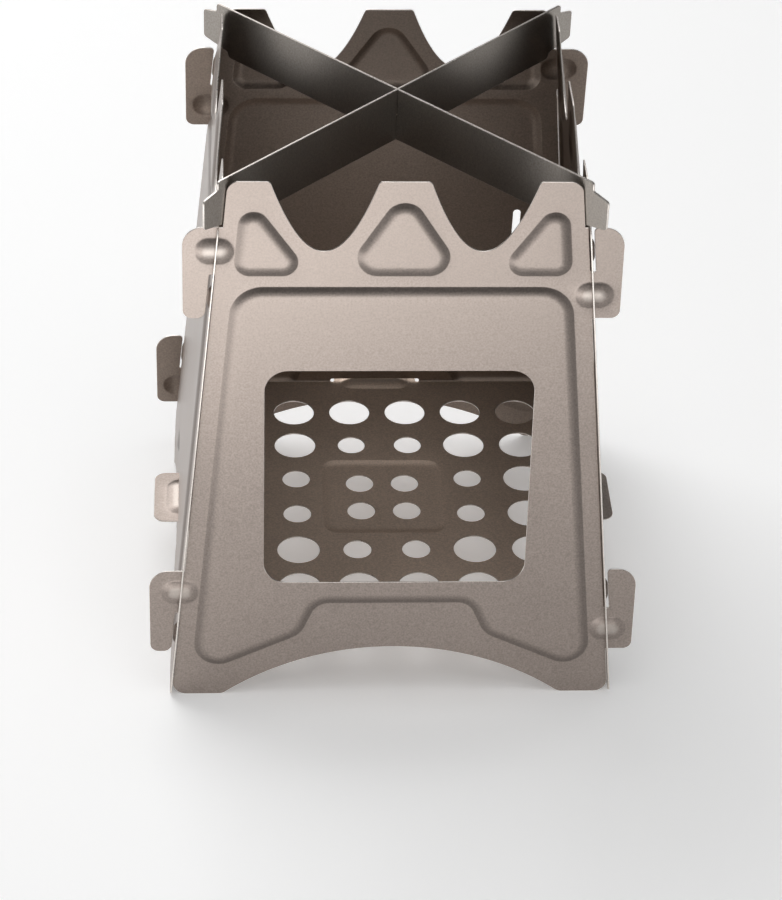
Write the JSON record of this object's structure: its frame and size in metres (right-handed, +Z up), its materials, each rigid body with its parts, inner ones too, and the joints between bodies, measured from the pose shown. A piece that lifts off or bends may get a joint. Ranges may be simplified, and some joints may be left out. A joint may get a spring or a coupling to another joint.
{
  "type": "twig stove",
  "caption": "Flat-pack sheet metal twig stove: leaning stamped panels hook together round a drilled ash plate, with a fuel window, a crown top and crossed lift-out pot bars.",
  "frame": {"origin": "on the ground under the middle of the stove", "axes": "+Z up, the fuel window in the front panel faces -Y, +X to the right seen from the front"},
  "size_m": [0.1576, 0.149, 0.1866],
  "materials": {
    "panel_sheet": "fine bead-blasted warm grey titanium sheet with bright cut edges",
    "plate_sheet": "fine bead-blasted warm grey titanium sheet",
    "bar_sheet": "fine bead-blasted grey titanium sheet with bright cut edges"
  },
  "bodies": {
    "stove_body": {"front_panel": "panel_sheet", "back_panel": "panel_sheet", "left_panel": "panel_sheet", "right_panel": "panel_sheet", "ash_plate": "plate_sheet"},
    "lower_bar": {"lower_bar": "bar_sheet"},
    "upper_bar": {"upper_bar": "bar_sheet"}
  },
  "joints": [
    {"name": "lower_bar_lift", "type": "slide", "parent": "stove_body", "child": "lower_bar", "axis": [0, 0, 1], "range_m": [0, 0.03]},
    {"name": "upper_bar_lift", "type": "slide", "parent": "lower_bar", "child": "upper_bar", "axis": [0, 0, 1], "range_m": [0, 0.03]}
  ]
}
